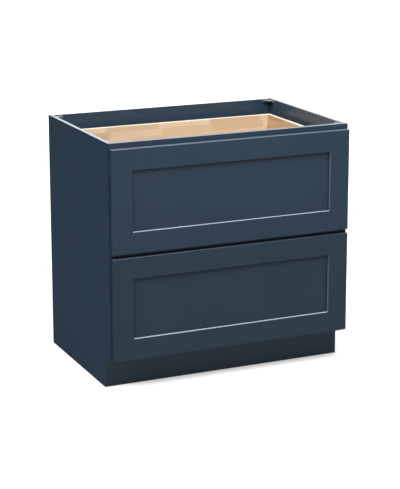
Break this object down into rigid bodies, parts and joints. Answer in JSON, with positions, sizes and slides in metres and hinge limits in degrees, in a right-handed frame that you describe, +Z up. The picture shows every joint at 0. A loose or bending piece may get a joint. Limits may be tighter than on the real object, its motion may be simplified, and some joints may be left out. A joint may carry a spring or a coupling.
{
  "type": "bathroom vanity cabinet",
  "caption": "Painted base cabinet with an open top, face frame, recessed toe kick and wide full-extension drawers with recessed-panel fronts and dovetailed boxes.",
  "frame": {"origin": "middle of the whole footprint, drawer fronts included, at floor level", "axes": "+Z up, the drawers open towards -Y, +X to the right of someone facing the fronts"},
  "size_m": [0.9144, 0.6302, 0.8763],
  "materials": {
    "painted_wood": "satin dark blue paint",
    "drawer_wood": "clear satin lacquer",
    "plywood": "unfinished",
    "brace_plastic": "moulded",
    "slide_steel": "zinc plated",
    "screw_steel": "zinc plated",
    "glide_nylon": "moulded",
    "clip_plastic": "moulded",
    "bumper_rubber": "soft"
  },
  "bodies": {
    "cabinet": {"left_side_panel": "painted_wood", "right_side_panel": "painted_wood", "bottom_panel": "painted_wood", "back_panel": "painted_wood", "toe_kick_board": "painted_wood", "top_nailer": "plywood", "mid_nailer": "plywood", "bottom_nailer": "plywood", "frame_left_stile": "painted_wood", "frame_right_stile": "painted_wood", "frame_top_rail": "painted_wood", "frame_mid_rail": "painted_wood", "frame_bottom_rail": "painted_wood", "front_left_corner_brace": "brace_plastic", "front_right_corner_brace": "brace_plastic", "back_left_corner_brace": "brace_plastic", "back_right_corner_brace": "brace_plastic", "corner_brace_screws": "screw_steel", "upper_left_slide_rail": "slide_steel", "upper_right_slide_rail": "slide_steel", "lower_left_slide_rail": "slide_steel", "lower_right_slide_rail": "slide_steel", "slide_rear_brackets": "slide_steel", "slide_screws": "screw_steel"},
    "upper_drawer": {"upper_front_left_stile": "painted_wood", "upper_front_right_stile": "painted_wood", "upper_front_top_rail": "painted_wood", "upper_front_bottom_rail": "painted_wood", "upper_front_panel": "painted_wood", "upper_front_screws": "screw_steel", "upper_front_bumpers": "bumper_rubber", "upper_box_left_side": "drawer_wood", "upper_box_right_side": "drawer_wood", "upper_box_front": "drawer_wood", "upper_box_back": "drawer_wood", "upper_box_bottom": "drawer_wood", "upper_left_slide_runner": "slide_steel", "upper_right_slide_runner": "slide_steel", "upper_slide_clips": "clip_plastic"},
    "upper_slide_centres": {"upper_left_slide_centre": "slide_steel", "upper_right_slide_centre": "slide_steel", "upper_slide_glides": "glide_nylon"},
    "lower_drawer": {"lower_front_left_stile": "painted_wood", "lower_front_right_stile": "painted_wood", "lower_front_top_rail": "painted_wood", "lower_front_bottom_rail": "painted_wood", "lower_front_panel": "painted_wood", "lower_front_screws": "screw_steel", "lower_front_bumpers": "bumper_rubber", "lower_box_left_side": "drawer_wood", "lower_box_right_side": "drawer_wood", "lower_box_front": "drawer_wood", "lower_box_back": "drawer_wood", "lower_box_bottom": "drawer_wood", "lower_left_slide_runner": "slide_steel", "lower_right_slide_runner": "slide_steel", "lower_slide_clips": "clip_plastic"},
    "lower_slide_centres": {"lower_left_slide_centre": "slide_steel", "lower_right_slide_centre": "slide_steel", "lower_slide_glides": "glide_nylon"}
  },
  "joints": [
    {"name": "upper_drawer_slide", "type": "slide", "parent": "cabinet", "child": "upper_drawer", "axis": [0, -1, 0], "range_m": [0, 0.52]},
    {"name": "lower_drawer_slide", "type": "slide", "parent": "cabinet", "child": "lower_drawer", "axis": [0, -1, 0], "range_m": [0, 0.52]},
    {"name": "upper_centres_slide", "type": "slide", "parent": "cabinet", "child": "upper_slide_centres", "axis": [0, -1, 0], "range_m": [0, 0.26]},
    {"name": "lower_centres_slide", "type": "slide", "parent": "cabinet", "child": "lower_slide_centres", "axis": [0, -1, 0], "range_m": [0, 0.26]}
  ],
  "couplings": [
    {"joint": "upper_centres_slide", "follows": "upper_drawer_slide", "ratio": 0.5},
    {"joint": "lower_centres_slide", "follows": "lower_drawer_slide", "ratio": 0.5}
  ]
}
